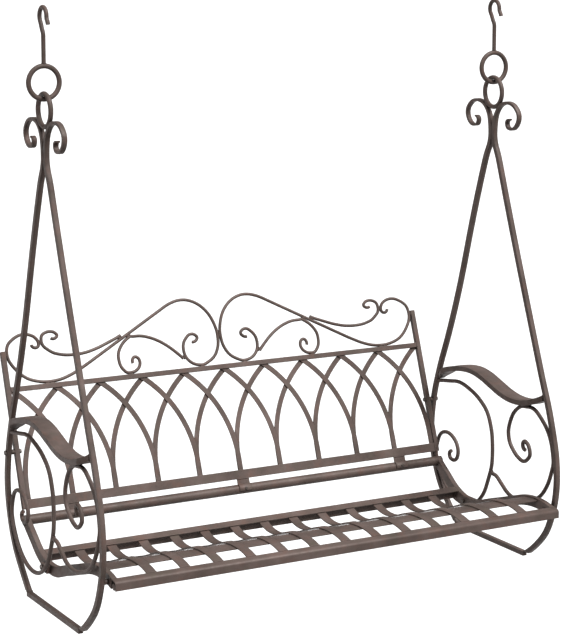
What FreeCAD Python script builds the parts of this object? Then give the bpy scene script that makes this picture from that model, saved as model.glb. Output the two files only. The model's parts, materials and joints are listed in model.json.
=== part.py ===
import FreeCAD, Part
import math
import os
from FreeCAD import Placement, Rotation, Vector

# A hanging swing bench of bent and welded steel: two hooks, linked rings, two side frames of
# square bar with scrolls, a latticed back with a scrolled crest, and a slatted seat.
# Millimetres, +Z up, +Y to the rear, +X to the right of someone who faces the bench.
# The origin is midway between the two places where the hook crowns rest on their support.

DIMENSIONS = {
    "span": 1200.0,
    "weld_gap": 0.15,
    "hook_rod": 10.0,
    "hook_radius": 20.0,
    "hook_length": 118.0,
    "hook_bend": 44.0,
    "hook_flare": 8.0,
    "hook_tip": 17.0,
    "ring_wire": 11.5,
    "ring_radius": 36.5,
    "ring_gap": 0.3,
    "bar_side": 12.0,
    "curl_tip": 4.5,
    "curl_reach": 80.0,
    "crotch_drop": 60.0,
    "leg_drop": 637.0,
    "lower_drop": 401.0,
    "front_reach": 289.0,
    "rear_reach": 264.0,
    "keel_rear_overhang": 6.0,
    "arm_width": 42.0,
    "arm_depth": 13.0,
    "arm_wall": 1.5,
    "arm_taper": 34.0,
    "arm_wave": 46.0,
    "scroll_rod": 10.0,
    "side_room": 14.5,
    "seat_drop": 237.0,
    "seat_rear_room": 64.0,
    "seat_overhang": 31.0,
    "seat_swell": 70.0,
    "seat_tube": 24.0,
    "seat_tube_wall": 1.5,
    "cap_flange": 2.0,
    "cap_plug": 12.0,
    "plate_thick": 13.0,
    "plate_height": 25.0,
    "rear_rail": 17.0,
    "rear_web": 27.0,
    "rear_sheet": 2.5,
    "slat_width": 24.0,
    "slat_thick": 3.0,
    "slat_sink": 5.0,
    "crest_strip": 3.0,
    "front_lip": 32.5,
    "front_sheet": 3.0,
    "front_stiffener": 14.8,
    "back_lean": 86.63,
    "back_height": 257.0,
    "back_foot_rail": 22.0,
    "back_gap": 13.0,
    "back_rail": 12.0,
    "stile_side": 12.0,
    "tube_wall": 1.2,
    "stile_top": 87.0,
    "arch_width": 13.0,
    "arch_thick": 3.0,
    "arch_straight": 28.0,
    "crest_height": 172.0,
    "crest_rod": 8.0,
    "bracket_width": 34.0,
    "bracket_thick": 2.5,
    "bracket_inset": 125.5,
    "screw_head": 7.0,
    "screw_rise": 2.0,
    "bolt": 6.0,
    "bolt_clearance": 0.4,
    "bolt_head": 10.0,
    "bolt_head_rise": 4.0,
    "nut_rise": 5.0,
    "spacer": 12.0,
    "lug_height": 18.0,
    "lug_step": 23.0,
    "lug_edge": 9.0,
}
# The seat keeps its room beside and behind the frame's bars and its overhang before them. The outer
# brackets keep their distance from the seat's ends.
DERIVED = {
    "seat_width": "=span - 2 * side_room",
    "seat_rear": "=rear_reach - seat_rear_room",
    "seat_front": "=front_reach + seat_overhang",
    "bracket_step": "=seat_width / 2 - bracket_inset",
}
SLATS = 13
BAYS = 10

doc = FreeCAD.newDocument("swing_bench")
sheet = doc.addObject("Spreadsheet::Sheet", "Sizes")
for row, (alias, value) in enumerate({**DIMENSIONS, **DERIVED}.items(), 1):
    sheet.set("A%d" % row, alias)
    sheet.set("B%d" % row, str(value))
    sheet.setAlias("B%d" % row, alias)
doc.recompute()


def size(name):
    return float(getattr(sheet, name))


nodes = []


def node(obj, label):
    """Give an object its piece name and list it for export."""
    obj.Label = label
    nodes.append(obj)
    return obj


# Curves: chains of tangent arcs through chosen points, in a plane.

def unit(v):
    length = math.hypot(v[0], v[1])
    return (v[0] / length, v[1] / length)


def turned(t):
    """The left-hand normal of a direction."""
    return (-t[1], t[0])


def directions(points, fixed=None):
    """Tangent at each point, from the circle through its neighbours, unless it is given."""
    fixed = fixed or {}
    tangents = []
    for i in range(len(points)):
        k = min(max(i, 1), len(points) - 2)
        a, b, c = points[k - 1], points[k], points[k + 1]
        ab, bc = (b[0] - a[0], b[1] - a[1]), (c[0] - b[0], c[1] - b[1])
        la, lb = math.hypot(*ab), math.hypot(*bc)
        ua, ub = unit(ab), unit(bc)
        mid = unit((ua[0] * lb + ub[0] * la, ua[1] * lb + ub[1] * la))
        if i == k:
            t = mid
        else:
            chord = ua if i < k else ub
            along = mid[0] * chord[0] + mid[1] * chord[1]
            t = (2 * along * chord[0] - mid[0], 2 * along * chord[1] - mid[1])
        tangents.append(unit(fixed.get(i, t)))
    return tangents


def arc_points(p, t, q):
    """Middle of the arc from p, leaving along t, to q; None when it is a straight line."""
    c = (q[0] - p[0], q[1] - p[1])
    n = turned(t)
    side = n[0] * c[0] + n[1] * c[1]
    square = c[0] ** 2 + c[1] ** 2
    if abs(side) < 1e-5 * math.sqrt(square):
        return None
    r = square / (2 * side)
    centre = (p[0] + n[0] * r, p[1] + n[1] * r)
    half = unit(((p[0] + q[0]) / 2 - centre[0], (p[1] + q[1]) / 2 - centre[1]))
    sign = 1 if t[0] * c[0] + t[1] * c[1] > 0 else -1
    return (centre[0] + sign * abs(r) * half[0], centre[1] + sign * abs(r) * half[1])


def chain(points, tangents):
    """Spans of the curve as (start, middle or None, end): two tangent arcs between each pair."""
    spans = []
    for i in range(len(points) - 1):
        p, q, s, t = points[i], points[i + 1], tangents[i], tangents[i + 1]
        v = (q[0] - p[0], q[1] - p[1])
        w = (s[0] + t[0], s[1] + t[1])
        vw = v[0] * w[0] + v[1] * w[1]
        vv = v[0] ** 2 + v[1] ** 2
        turn = 2 * (1 - s[0] * t[0] - s[1] * t[1])
        if turn < 1e-9:
            d = vv / (2 * vw)
        else:
            d = (-vw + math.sqrt(vw ** 2 + turn * vv)) / turn
        joint = ((p[0] + q[0] + d * (s[0] - t[0])) / 2, (p[1] + q[1] + d * (s[1] - t[1])) / 2)
        middle = arc_points(p, s, joint)
        back = arc_points(q, (-t[0], -t[1]), joint)
        spans.append((p, middle, joint))
        spans.append((joint, back, q))
    return spans


def side_point(p):
    """A point of the side plane: first across the bench's depth, then upward."""
    return Vector(0, p[0], p[1])


def back_point(p):
    """A point of the back's own plane: first along the bench, then up the back."""
    return Vector(p[0], 0, p[1])


def edges(spans, place):
    found = []
    for p, middle, q in spans:
        if middle is None:
            found.append(Part.LineSegment(place(p), place(q)).toShape())
        else:
            found.append(Part.Arc(place(p), place(middle), place(q)).toShape())
    return found


def shifted(points, tangents, offsets):
    return [(p[0] + turned(t)[0] * o, p[1] + turned(t)[1] * o) for p, t, o in zip(points, tangents, offsets)]


def strip_face(points, tangents, left, right, place):
    """Face between two curves that run beside a path, at distances to its left."""
    one = shifted(points, tangents, left)
    two = shifted(points, tangents, right)
    there = edges(chain(one, tangents), place)
    again = edges(chain(two, tangents), place)
    ends = [Part.LineSegment(place(one[0]), place(two[0])).toShape(),
            Part.LineSegment(place(one[-1]), place(two[-1])).toShape()]
    return Part.Face(Part.Wire(Part.__sortEdges__(there + ends + again)))


def feature(name, shape):
    obj = doc.addObject("Part::Feature", name)
    obj.Shape = shape
    return obj


def extruded(name, face, width):
    """Extrusion along X, half to each side, of an outline in the side plane."""
    obj = doc.addObject("Part::Extrusion", name)
    obj.Base = face
    obj.DirMode = "Custom"
    obj.Dir = Vector(1, 0, 0)
    obj.Symmetric = True
    obj.Solid = True
    obj.setExpression("LengthFwd", width)
    return obj


def swept(name, spine, radius, start, heading):
    """Round rod along a path."""
    circle = doc.addObject("Part::Circle", name + "_section")
    circle.setExpression("Radius", radius)
    circle.Placement = Placement(start, Rotation(Vector(0, 0, 1), heading))
    rod = doc.addObject("Part::Sweep", name)
    rod.Sections = [circle]
    rod.Spine = (spine, ["Edge%d" % (i + 1) for i in range(len(spine.Shape.Edges))])
    rod.Solid = True
    rod.Frenet = False
    return rod


def rod_path(name, points, tangents, place):
    return feature(name, Part.Wire(edges(chain(points, tangents), place)))


def at_level(points, tangents, level):
    """Where a path in the side plane crosses a height: its depth there."""
    wire = Part.Wire(edges(chain(points, tangents), side_point))
    reach = size("front_reach") + size("rear_reach")
    ray = Part.makeLine(Vector(0, -reach, level), Vector(0, reach, level))
    return wire.distToShape(ray)[1][0][0].y


def heading_at(points, tangents, level):
    """Direction of a path where it crosses a height."""
    where = at_level(points, tangents, level)
    for edge in edges(chain(points, tangents), side_point):
        if edge.distToShape(Part.Vertex(side_point((where, level))))[0] < gap * gap:
            along = edge.tangentAt(edge.Curve.parameter(side_point((where, level))))
            return (along.y, along.z)
    return (0.0, -1.0)


def box(name, x, y, z):
    """Box between limits, each a pair of numbers."""
    obj = doc.addObject("Part::Box", name)
    obj.Length = x[1] - x[0]
    obj.Width = y[1] - y[0]
    obj.Height = z[1] - z[0]
    obj.Placement.Base = Vector(x[0], y[0], z[0])
    return obj


def rod_x(radius, x, y, z):
    """Round solid along X between two limits."""
    return Part.makeCylinder(radius, x[1] - x[0], Vector(x[0], y, z), Vector(1, 0, 0))


def hex_x(across, x, y, z):
    """Hexagonal solid along X between two limits."""
    radius = across / math.sqrt(3)
    turns = [k * math.pi / 3 for k in range(7)]
    corners = [Vector(x[0], y + radius * math.cos(t), z + radius * math.sin(t)) for t in turns]
    return Part.Face(Part.makePolygon(corners)).extrude(Vector(x[1] - x[0], 0, 0))


def cut(name, base, tool):
    obj = doc.addObject("Part::Cut", name)
    obj.Base = base
    obj.Tool = tool
    return obj


def place_x(obj, expression):
    obj.setExpression("Placement.Base.x", expression)


def both_sides(make, label):
    """The same planar piece on the left and right side frames."""
    for side, sign in (("left", "-"), ("right", "")):
        piece = make(side + "_" + label)
        place_x(piece, sign + "Sizes.span / 2")
        node(piece, side + "_" + label)


gap = size("weld_gap")
bar = size("bar_side")
half_bar = bar / 2
rod = size("scroll_rod")
half_rod = rod / 2

# Hooks: a straight shank, a swan-neck to the rear, a crown and a flared tip, all in the side plane.
hook_top = size("hook_rod") / 2
hook_centre = hook_top - size("hook_radius")
hook_foot = -size("hook_length")
neck_low = hook_centre - size("hook_bend")
neck_mid_share = 0.5
hook_points = [
    (0, hook_foot + gap),
    (0, neck_low),
    (size("hook_radius") * neck_mid_share, neck_low + size("hook_bend") * neck_mid_share),
    (size("hook_radius"), hook_centre),
    (0, hook_top),
    (-size("hook_radius"), hook_centre),
    (-size("hook_radius") - size("hook_flare"), hook_centre - size("hook_tip")),
]
hook_dirs = directions(hook_points, {0: (0, 1), 1: (0, 1), 3: (0, 1), 4: (-1, 0), 5: (0, -1)})
hook_spine = rod_path("hook_path", hook_points, hook_dirs, side_point)
both_sides(lambda n: swept(n, hook_spine, "Sizes.hook_rod / 2", side_point(hook_points[0]),
                           Vector(0, 0, 1)), "hook")

# Two rings hang in each other: the upper faces the front, the lower lies in the side frame's plane.
wire = size("ring_wire")
ring = size("ring_radius")
ring_reach = ring + wire / 2
upper_ring = hook_foot - ring_reach
pivot = upper_ring - ring
lower_ring = pivot + wire + size("ring_gap") - ring


def ring_piece(name, level, axis):
    torus = doc.addObject("Part::Torus", name)
    torus.setExpression("Radius1", "Sizes.ring_radius")
    torus.setExpression("Radius2", "Sizes.ring_wire / 2")
    torus.Placement = Placement(Vector(0, 0, level), Rotation(Vector(0, 0, 1), axis))
    return torus


both_sides(lambda n: ring_piece(n, upper_ring, Vector(0, 1, 0)), "upper_ring")
both_sides(lambda n: ring_piece(n, lower_ring, Vector(1, 0, 0)), "lower_ring")

# Levels of the side frame below the lower ring.
crotch = lower_ring - ring_reach - size("crotch_drop")
arm_level = crotch - size("leg_drop")
keel_level = arm_level - size("lower_drop")
seat_level = arm_level - size("seat_drop")


def frame_point(share):
    """Side-frame point from shares: depth of the front or rear reach, height 0 to 1 down the
    legs from the crotch to the arm level and 1 to 2 from there to the keel."""
    across = share[0] * (size("rear_reach") if share[0] > 0 else size("front_reach"))
    if share[1] <= 1:
        return (across, crotch - share[1] * size("leg_drop"))
    return (across, arm_level - (share[1] - 1) * size("lower_drop"))


# Side bars: the curl at the top nests against the lower ring, the two bars touch at the crotch and
# spread to the front and rear. The curl is forged flat towards its tip.
nest_share = (0.656, 0.755)
curl_shares = [(0.43, 0.15), (0.82, 0.03), (1.0, -0.24), (0.9, -0.51), (0.62, -0.65), (0.42, -0.57),
               (0.4, -0.43), (0.53, -0.36)]
curl_flat_shares = [0.32, 0.3, 0.28, 0.27, 0.26, 0.25, 0.24]
front_leg_shares = [(-0.108, 0.113), (-0.744, 0.882), (-0.905, 1.11), (-0.992, 1.36), (-1.0, 1.49),
                    (-0.95, 1.675), (-0.86, 1.813), (-0.735, 1.91), (-0.545, 2.01)]
rear_leg_shares = [(0.121, 0.113), (0.735, 0.875), (0.85, 0.988), (0.967, 1.225), (1.0, 1.41), (0.95, 1.6),
                   (0.82, 1.78), (0.68, 1.885), (0.49, 2.01)]
nest_half = bar * curl_flat_shares[0]
nest_reach = ring_reach + nest_half + gap


def side_bar(sign, leg_shares):
    """Path, directions and half thicknesses of a side bar, from the curl's tip down to the keel."""
    nest = (sign * nest_share[0] * nest_reach, lower_ring - nest_share[1] * nest_reach)
    curl = [(nest[0] + sign * a * size("curl_reach"), nest[1] + b * size("curl_reach")) for a, b in curl_shares]
    top = (sign * (half_bar + gap / 2), crotch)
    leg = [frame_point(s) for s in leg_shares]
    points = curl[::-1] + [nest, top] + leg
    at_nest = len(curl)
    down = {at_nest: (-sign * nest_share[1], -nest_share[0]), at_nest + 1: (0, -1)}
    thick = [size("curl_tip") / 2] + [bar * s for s in curl_flat_shares[::-1]] + [nest_half]
    thick += [half_bar] * (len(leg) + 1)
    return points, directions(points, down), thick


front_bar = side_bar(-1, front_leg_shares)
rear_bar = side_bar(1, rear_leg_shares)

# Keel bar along the bottom; both side bars stand on it.
keel_top = keel_level + half_bar
keel_rear = rear_bar[0][-1][0] + half_bar + size("keel_rear_overhang")
keel_front = front_bar[0][-1][0] - half_bar


def keel(name):
    bar_box = doc.addObject("Part::Box", name)
    bar_box.setExpression("Length", "Sizes.bar_side")
    bar_box.setExpression("Height", "Sizes.bar_side")
    bar_box.Width = keel_rear - keel_front
    bar_box.Placement.Base = Vector(0, keel_front, keel_level - half_bar)
    return bar_box


for side, sign in (("left", "-"), ("right", "")):
    piece = keel(side + "_keel_bar")
    place_x(piece, sign + "Sizes.span / 2 - Sizes.bar_side / 2")
    node(piece, side + "_keel_bar")

# Seat profile, front to rear on the end plates' top edge: rolled front, crest, dip, and a rise to the tube.
seat_shares = [(0.995, 0.09), (0.78, -0.33), (0.55, -0.77), (0.4, -0.94), (0.225, -1.0), (0.05, -0.95),
               (-0.084, -0.77), (-0.26, -0.52), (-0.425, -0.28), (-0.584, -0.07), (-0.734, 0.0), (-0.88, -0.06),
               (-0.9375, -0.125), (-0.99, -0.166)]


def seat_point(share):
    across = share[0] * (size("seat_rear") if share[0] > 0 else size("seat_front"))
    return (across, seat_level + share[1] * size("seat_swell"))


seat_points = [seat_point(s) for s in seat_shares]
seat_dirs = directions(seat_points)
seat_wire = Part.Wire(edges(chain(seat_points, seat_dirs), side_point))


def on_seat(across):
    """Point and direction, towards the front, of the seat profile at a depth."""
    reach = size("seat_drop") + size("seat_swell")
    ray = Part.makeLine(Vector(0, across, seat_level - reach), Vector(0, across, seat_level + reach))
    where = seat_wire.distToShape(ray)[1][0][0]
    for edge in seat_wire.Edges:
        if edge.distToShape(Part.Vertex(where))[0] < gap * gap:
            along = edge.tangentAt(edge.Curve.parameter(where))
            if along.y > 0:
                along = -along
            return (where.y, where.z), (along.y, along.z)
    return (where.y, where.z), (-1.0, 0.0)


def seat_run(start, end):
    """Part of the profile between two depths."""
    first, last = on_seat(start), on_seat(end)
    inner = [(p, d) for p, d in zip(seat_points, seat_dirs) if end < p[0] < start]
    run = [first] + inner + [last]
    return [p for p, d in run], [d for p, d in run]


tube = size("seat_tube")
tube_y = size("seat_rear")
tube_z = seat_points[0][1] - tube / 2
seat_half = size("seat_width") / 2
inner_half = seat_half - size("plate_thick")
rail_rear_share = 0.55
rail_rear = rail_rear_share * size("seat_rear")
rail_front = rail_rear - size("rear_rail")
lip_start_share = 0.9375
lip_start = -lip_start_share * size("seat_front")
lip_turn_share = 0.978
lip_turn = -lip_turn_share * size("seat_front")
crest_limits_share = (-0.61, -0.78)

# End plates: flat bar on edge under the profile, coped to the seat tube and drilled for the bolts. They
# end behind the front rail.
plate_points, plate_dirs = seat_run(tube_y * seat_shares[0][0], lip_start + gap)
plate_face = feature("plate_outline", strip_face(plate_points, plate_dirs, [0] * len(plate_points),
                                                 [size("plate_height")] * len(plate_points), side_point))
bolt_hole = (size("bolt") + size("bolt_clearance")) / 2
plate_mid = size("plate_height") / 2

# Bolt through the front bar and the end plate.
front_bolt_z = seat_points[-2][1] - plate_mid
front_bolt_y = at_level(front_bar[0], front_bar[1], front_bolt_z)

# Back: stands over the seat tube on brackets and leans to the rear. Its own plane has its zero on the
# foot rail.
lean = math.asin(size("back_lean") / size("back_height"))
up = (math.sin(lean), math.cos(lean))
foot_rise = tube / 2 + gap + size("back_gap") + size("back_foot_rail")
back_base = Vector(0, tube_y + up[0] * foot_rise, tube_z + up[1] * foot_rise)
back_place = Placement(back_base, Rotation(Vector(1, 0, 0), -math.degrees(lean)))
stile = size("stile_side")
stile_x = seat_half - stile / 2
stile_head = Vector(0, up[0], up[1]) * size("back_height")
stile_line = Part.makeLine(back_base, back_base + stile_head)
rear_wire = Part.Wire(edges(chain(rear_bar[0], rear_bar[1]), side_point))
cross = rear_wire.distToShape(stile_line)[1][0][0]

# Armrests, flat tubes bent in a wave, with their ends drawn in to the bars' width.
arm_shares = [(0.71, 0.17), (0.53, 0.46), (0.35, 0.63), (0.22, 0.65), (0.06, 0.5), (-0.1, 0.2), (-0.24, -0.08),
              (-0.38, -0.24), (-0.52, -0.24), (-0.66, -0.07)]
arm_rear_drop_share = -0.37
arm_front_rise_share = 0.34
arm_mid = []
for along, lift in arm_shares:
    reach = size("rear_reach") if along > 0 else size("front_reach")
    arm_mid.append((along * reach, arm_level + lift * size("arm_wave")))
arm_rear_z = arm_level + arm_rear_drop_share * size("arm_wave")
arm_front_z = arm_level + arm_front_rise_share * size("arm_wave")
end_room_share = 0.1
arm_room = half_bar + bar * end_room_share
arm_points = [(at_level(rear_bar[0], rear_bar[1], arm_rear_z) - arm_room, arm_rear_z)] + arm_mid
arm_points += [(at_level(front_bar[0], front_bar[1], arm_front_z) + arm_room, arm_front_z)]
arm_dirs = directions(arm_points)
arm_count = len(arm_points)
arm_wall = size("arm_wall")
arm_rear_y, arm_front_y = arm_points[0][0], arm_points[-1][0]
arm_neck_shares = [(0, 0), (0.4, 0.3), (0.75, 0.82), (1, 1)]


def arm_plan_point(p):
    """A point of a level plane well below the armrests: first across the bench's depth, then along it."""
    return Vector(p[1], p[0], arm_level - size("leg_drop"))


def arm_plan(name, inset):
    """Upright block that draws the flat tube's ends in to the bars' width, less a wall for its bore."""
    tip, full = half_bar - inset, size("arm_width") / 2 - inset
    rise = [(along * size("arm_taper"), tip + (full - tip) * wide) for along, wide in arm_neck_shares]
    stations = [(arm_front_y + y, w) for y, w in rise] + [(arm_rear_y - y, w) for y, w in rise[::-1]]
    mirrored = [(y, -w) for y, w in stations]
    straight = {len(rise) - 1: (1, 0), len(rise): (1, 0)}
    rims = []
    for rim in (stations, mirrored):
        rims += edges(chain(rim, directions(rim, straight)), arm_plan_point)
    for k in (0, -1):
        rims.append(Part.LineSegment(arm_plan_point(stations[k]), arm_plan_point(mirrored[k])).toShape())
    face = Part.Face(Part.Wire(Part.__sortEdges__(rims)))
    return feature(name, face.extrude(Vector(0, 0, 2 * size("leg_drop"))))


def arm_tube(name, top, bottom, width, inset):
    """Flat tube's skin or bore: a strip along the armrest's wave, drawn in at both ends."""
    face = strip_face(arm_points, arm_dirs, [top] * arm_count, [bottom] * arm_count, side_point)
    drawn = doc.addObject("Part::Common", name)
    drawn.Base = extruded(name + "_stock", feature(name + "_outline", face), width)
    drawn.Tool = arm_plan(name + "_plan", inset)
    return drawn


def armrest(name):
    skin = arm_tube(name + "_skin", 0, size("arm_depth"), "Sizes.arm_width", 0)
    bore = arm_tube(name + "_bore", arm_wall, size("arm_depth") - arm_wall,
                    "Sizes.arm_width - 2 * Sizes.arm_wall", arm_wall)
    return cut(name, skin, bore)


both_sides(armrest, "armrest")

# Scrolls of the side frames. Each leans on its neighbours with the weld gap between.
rear_scroll_shares = [(0.71, 1.07), (0.5, 1.055), (0.33, 1.078), (0.17, 1.12), (0.03, 1.19), (-0.035, 1.28),
                      (-0.062, 1.42), (-0.05, 1.53), (-0.01, 1.61), (0.09, 1.74), (0.21, 1.81), (0.36, 1.845),
                      (0.52, 1.84), (0.67, 1.8), (0.8, 1.725)]
rear_scroll_end_shares = [(0.885, 1.5), (0.83, 1.44), (0.73, 1.415), (0.62, 1.43), (0.54, 1.475), (0.52, 1.525),
                          (0.55, 1.57), (0.61, 1.585), (0.665, 1.57), (0.67, 1.545), (0.64, 1.53)]
scroll_touch_share = 1.6
touch_z = arm_level - (scroll_touch_share - 1) * size("lower_drop")
touch_y = at_level(rear_bar[0], rear_bar[1], touch_z)
scroll_start_share = 1.087
lean_room_share = 0.08
start_z = arm_level - (scroll_start_share - 1) * size("lower_drop")
start_beside = heading_at(rear_bar[0], rear_bar[1], start_z)
start_slope = abs(start_beside[0] / start_beside[1])
start_room = half_bar * math.hypot(1, start_slope) + half_rod * start_slope + gap + bar * lean_room_share
start_y = at_level(rear_bar[0], rear_bar[1], start_z) - start_room
rear_scroll_points = [(start_y, start_z)] + [frame_point(s) for s in rear_scroll_shares]
rear_touch = len(rear_scroll_points)
rear_scroll_points += [(touch_y - half_bar - half_rod - gap - bar * lean_room_share, touch_z)]
rear_scroll_points += [frame_point(s) for s in rear_scroll_end_shares]
beside_rear = heading_at(rear_bar[0], rear_bar[1], touch_z)
rear_scroll_dirs = directions(rear_scroll_points, {rear_touch: (-beside_rear[0], -beside_rear[1])})
rear_scroll_spine = rod_path("rear_scroll_path", rear_scroll_points, rear_scroll_dirs, side_point)
first = rear_scroll_dirs[0]
both_sides(lambda n: swept(n, rear_scroll_spine, "Sizes.scroll_rod / 2", side_point(rear_scroll_points[0]),
                           Vector(0, first[0], first[1])), "rear_scroll")

front_scroll_start_shares = [(-0.545, 1.345), (-0.51, 1.32), (-0.53, 1.293), (-0.575, 1.3), (-0.61, 1.335),
                             (-0.615, 1.365), (-0.58, 1.4), (-0.525, 1.42), (-0.455, 1.41), (-0.375, 1.375),
                             (-0.315, 1.325), (-0.297, 1.27), (-0.32, 1.2), (-0.385, 1.125)]
front_scroll_mid_shares = [(-0.66, 1.07), (-0.78, 1.12), (-0.87, 1.185)]
front_scroll_end_shares = [(-0.915, 1.445), (-0.865, 1.52), (-0.77, 1.6), (-0.6, 1.66), (-0.43, 1.68),
                           (-0.3, 1.66), (-0.2, 1.615), (-0.125, 1.58)]
arm_touch_share = -0.52
arm_touch_y = arm_touch_share * size("front_reach")
arm_touch_z = arm_level + arm_shares[8][1] * size("arm_wave") - size("arm_depth") - half_rod - gap
front_touch_share = 1.34
front_touch_z = arm_level - (front_touch_share - 1) * size("lower_drop")
front_room = half_bar + half_rod + gap + bar * lean_room_share
front_touch_y = at_level(front_bar[0], front_bar[1], front_touch_z) + front_room
beside_front = heading_at(front_bar[0], front_bar[1], front_touch_z)
join_share = 1.565
join_z = arm_level - (join_share - 1) * size("lower_drop")
join_y = at_level(rear_scroll_points[4:12], rear_scroll_dirs[4:12], join_z)
join_dir = heading_at(rear_scroll_points[4:12], rear_scroll_dirs[4:12], join_z)
join_in = turned(join_dir)
join_reach = half_rod + gap
front_join = (join_y - join_in[0] * join_reach, join_z - join_in[1] * join_reach)
front_scroll_points = [frame_point(s) for s in front_scroll_start_shares]
arm_at = len(front_scroll_points)
front_scroll_points += [(arm_touch_y, arm_touch_z)] + [frame_point(s) for s in front_scroll_mid_shares]
bar_at = len(front_scroll_points)
front_scroll_points += [(front_touch_y, front_touch_z)] + [frame_point(s) for s in front_scroll_end_shares]
front_scroll_points += [front_join]
front_scroll_dirs = directions(front_scroll_points, {arm_at: arm_dirs[9], bar_at: beside_front,
                                                     len(front_scroll_points) - 1: join_in})
front_scroll_spine = rod_path("front_scroll_path", front_scroll_points, front_scroll_dirs, side_point)
begin = front_scroll_dirs[0]
both_sides(lambda n: swept(n, front_scroll_spine, "Sizes.scroll_rod / 2", side_point(front_scroll_points[0]),
                           Vector(0, begin[0], begin[1])), "front_scroll")

# Side bars in solid, cut square to the keel bar's top and drilled for their bolts.
outlines = {"front_bar": (front_bar, (front_bolt_y, front_bolt_z)), "rear_bar": (rear_bar, (cross.y, cross.z))}
reach_whole = size("front_reach") + size("rear_reach")
trim_corner = Vector(-bar, -size("front_reach"), keel_top + gap - size("leg_drop"))
for label, (path, hole) in outlines.items():
    thick = path[2]
    outline = feature(label + "_outline", strip_face(path[0], path[1], thick, [-w for w in thick], side_point))
    under = feature(label + "_trim", Part.makeBox(bar + bar, reach_whole, size("leg_drop"), trim_corner))
    drill = feature(label + "_drill", rod_x(bolt_hole, (-bar, bar), hole[0], hole[1]))

    def bar_piece(name, outline=outline, under=under, drill=drill):
        whole = extruded(name + "_stock", outline, "Sizes.bar_side")
        return cut(name, cut(name + "_trimmed", whole, under), drill)

    both_sides(bar_piece, label)

# Lug welded to the rear scroll, bolted to the end plate at the seat's dip.
lug_z = seat_level - size("seat_swell") - plate_mid
lug_rod_y = at_level(rear_scroll_points[:rear_touch], rear_scroll_dirs[:rear_touch], lug_z)
lug_bolt_y = lug_rod_y + size("lug_step")
lug_inner = seat_half + gap
lug_outer = size("span") / 2 - half_rod - gap
for side, sign in (("left", -1), ("right", 1)):
    limits = sorted((sign * lug_inner, sign * lug_outer))
    block = box(side + "_lug_block", limits, (lug_rod_y - half_rod, lug_bolt_y + size("lug_edge")),
                (lug_z - size("lug_height") / 2, lug_z + size("lug_height") / 2))
    reach = sorted((sign * inner_half, sign * size("span")))
    drill = feature(side + "_lug_drill", rod_x(bolt_hole, reach, lug_bolt_y, lug_z))
    node(cut(side + "_seat_lug", block, drill), side + "_seat_lug")

# End plates, drilled and coped.
for side, sign in (("left", -1), ("right", 1)):
    stock = extruded(side + "_plate_stock", plate_face, "Sizes.plate_thick")
    place_x(stock, ("-" if sign < 0 else "") + "(Sizes.seat_width / 2 - Sizes.plate_thick / 2)")
    reach = sorted((sign * (inner_half - bar), sign * (seat_half + bar)))
    tools = [rod_x(tube / 2 + gap, reach, tube_y, tube_z), rod_x(bolt_hole, reach, front_bolt_y, front_bolt_z),
             rod_x(bolt_hole, reach, lug_bolt_y, lug_z)]
    drill = feature(side + "_plate_drill", Part.makeCompound(tools))
    node(cut(side + "_end_plate", stock, drill), side + "_seat_end_plate")

# Seat tube with plugged ends.
tube_outer = doc.addObject("Part::Cylinder", "tube_outer")
tube_outer.setExpression("Radius", "Sizes.seat_tube / 2")
tube_outer.setExpression("Height", "Sizes.seat_width")
tube_inner = doc.addObject("Part::Cylinder", "tube_inner")
tube_inner.setExpression("Radius", "Sizes.seat_tube / 2 - Sizes.seat_tube_wall")
tube_inner.setExpression("Height", "Sizes.seat_width")
along_x = Rotation(Vector(0, 0, 1), Vector(1, 0, 0))
for cylinder in (tube_outer, tube_inner):
    cylinder.Placement = Placement(Vector(-seat_half, tube_y, tube_z), along_x)
node(cut("seat_tube", tube_outer, tube_inner), "seat_back_tube")
bore = tube / 2 - size("seat_tube_wall") - gap
caps = []
for sign in (-1, 1):
    plug = rod_x(bore, sorted((sign * (seat_half - size("cap_plug")), sign * seat_half)), tube_y, tube_z)
    flange_end = seat_half + size("cap_flange")
    flange = rod_x(tube / 2, sorted((sign * seat_half, sign * flange_end)), tube_y, tube_z)
    caps.append(plug.fuse(flange).removeSplitter())
node(feature("tube_caps", Part.makeCompound(caps)), "seat_tube_caps")

# Rear rail, an angle with its flange along the profile and its web upright, and crest strip, both
# between the end plates. The front rail covers the end plates.
between = "2 * (Sizes.seat_width / 2 - Sizes.plate_thick - Sizes.weld_gap)"


def cross_piece(label, points, dirs, left, right, width):
    count = len(points)
    face = strip_face(points, dirs, [left] * count, [right] * count, side_point)
    node(extruded(label, feature(label + "_outline", face), width), label)


rail_points, rail_dirs = seat_run(rail_rear, rail_front)
wall = size("tube_wall")
rail_skin = size("rear_sheet")
rail_count = len(rail_points)
rail_face = strip_face(rail_points, rail_dirs, [0] * rail_count, [rail_skin] * rail_count, side_point)
web_top = on_seat(rail_rear - rail_skin)[0][1] - rail_skin / 2
web_foot = web_top - size("rear_web")
web_corners = [(rail_rear, web_top), (rail_rear, web_foot), (rail_rear - rail_skin, web_foot),
               (rail_rear - rail_skin, web_top), (rail_rear, web_top)]
web_face = Part.Face(Part.makePolygon([side_point(c) for c in web_corners]))
rear_rail = doc.addObject("Part::Fuse", "rear_rail")
rear_rail.Base = extruded("rear_flange", feature("rear_flange_outline", rail_face), between)
rear_rail.Tool = extruded("rear_web_sheet", feature("rear_web_outline", web_face), between)
rear_rail.Refine = True
node(rear_rail, "seat_rear_rail")
crest_points, crest_dirs = seat_run(*[s * size("seat_front") for s in crest_limits_share])
crest_low = size("slat_thick") + gap
cross_piece("seat_crest_strip", crest_points, crest_dirs, crest_low, crest_low + size("crest_strip"), between)

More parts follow.
